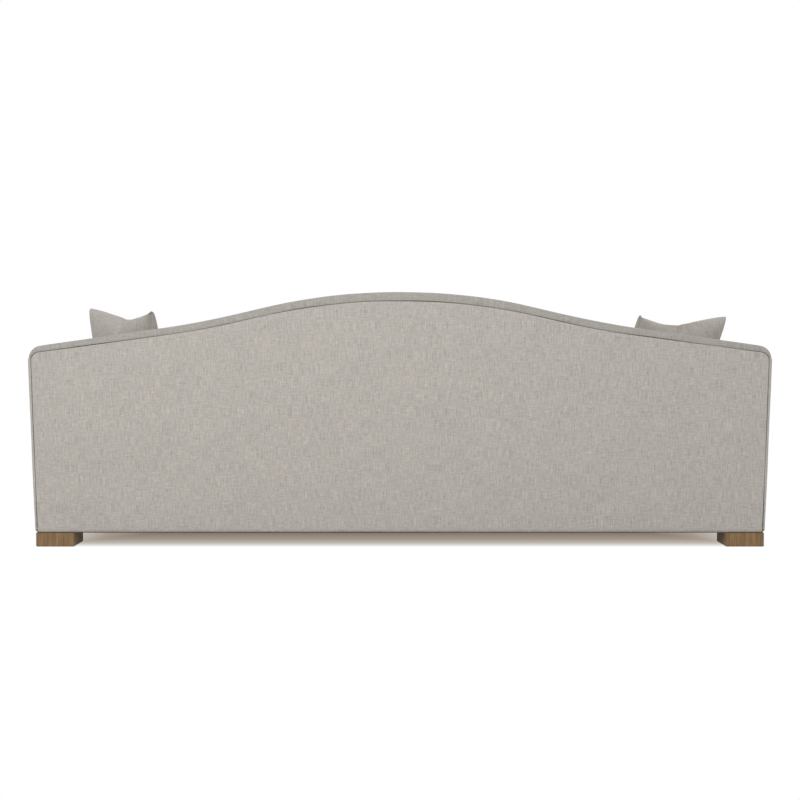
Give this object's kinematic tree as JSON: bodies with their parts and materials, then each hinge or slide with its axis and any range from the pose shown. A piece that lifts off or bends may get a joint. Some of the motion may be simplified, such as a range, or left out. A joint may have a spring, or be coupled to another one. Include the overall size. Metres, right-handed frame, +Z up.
{
  "type": "camelback sofa",
  "caption": "Long camelback sofa with a humped back, low scooped arms, boxed seat cushions, loose throw pillows and square block feet.",
  "frame": {"origin": "on the floor, under the middle of the sofa's overall box", "axes": "+X to the viewer's right when facing the front of the sofa, +Y towards its back, +Z up"},
  "size_m": [2.64, 0.965, 0.914],
  "materials": {
    "oak": "waxed, open-grained",
    "zip": "woven tape",
    "steel": "zinc plated",
    "webbing": "woven elastic strap",
    "board": "pressed board",
    "black_cloth": "spun cloth",
    "deck_cloth": "plain cloth",
    "foam": "open-cell foam",
    "wadding": "fibre wadding",
    "filling": "loose fibre",
    "pillow_linen": "slubbed linen weave",
    "linen": "slubbed linen weave",
    "beech": "sawn"
  },
  "bodies": {
    "sofa_frame": {"arm_base_rails": "beech", "arm_front_posts": "beech", "arm_liners": "board", "arm_tack_rails": "beech", "back_foam": "foam", "back_straps": "webbing", "back_tack_rail": "beech", "back_top_band": "linen", "back_uprights": "beech", "camel_top_rail": "beech", "centre_foot": "oak", "corner_blocks": "beech", "cross_straps": "webbing", "deck_cover": "deck_cloth", "deck_pad": "wadding", "dust_cover": "black_cloth", "foot_bolts": "steel", "foot_plates": "beech", "foot_tee_nuts": "steel", "front_border_cover": "linen", "front_border_pad": "wadding", "front_left_foot": "oak", "front_right_foot": "oak", "front_seat_rail": "beech", "inside_back_cover": "linen", "left_arm_band": "linen", "left_arm_inside_cover": "linen", "left_arm_outside_cover": "linen", "left_arm_padding": "wadding", "left_arm_top_rail": "beech", "left_back_post": "beech", "outside_back_cover": "linen", "outside_back_liner": "board", "outside_back_pad": "wadding", "rear_left_foot": "oak", "rear_right_foot": "oak", "rear_seat_rail": "beech", "right_arm_band": "linen", "right_arm_inside_cover": "linen", "right_arm_outside_cover": "linen", "right_arm_padding": "wadding", "right_arm_top_rail": "beech", "right_back_post": "beech", "seat_side_rails": "beech", "seat_straps": "webbing", "seat_stretchers": "beech"},
    "left_seat_cushion": {"left_seat_cushion_core": "foam", "left_seat_cushion_cover": "linen", "left_seat_cushion_zip": "zip"},
    "centre_seat_cushion": {"centre_seat_cushion_core": "foam", "centre_seat_cushion_cover": "linen", "centre_seat_cushion_zip": "zip"},
    "right_seat_cushion": {"right_seat_cushion_core": "foam", "right_seat_cushion_cover": "linen", "right_seat_cushion_zip": "zip"},
    "left_pillow": {"left_pillow_cover": "pillow_linen", "left_pillow_filling": "filling"},
    "right_pillow": {"right_pillow_cover": "pillow_linen", "right_pillow_filling": "filling"}
  },
  "joints": [
    {"name": "left_seat_cushion_lift", "type": "slide", "parent": "sofa_frame", "child": "left_seat_cushion", "axis": [0, 0, 1], "range_m": [0, 0.45]},
    {"name": "centre_seat_cushion_lift", "type": "slide", "parent": "sofa_frame", "child": "centre_seat_cushion", "axis": [0, 0, 1], "range_m": [0, 0.45]},
    {"name": "right_seat_cushion_lift", "type": "slide", "parent": "sofa_frame", "child": "right_seat_cushion", "axis": [0, 0, 1], "range_m": [0, 0.45]},
    {"name": "left_pillow_lift", "type": "slide", "parent": "left_seat_cushion", "child": "left_pillow", "axis": [0, 0, 1], "range_m": [0, 0.45]},
    {"name": "right_pillow_lift", "type": "slide", "parent": "right_seat_cushion", "child": "right_pillow", "axis": [0, 0, 1], "range_m": [0, 0.45]}
  ]
}
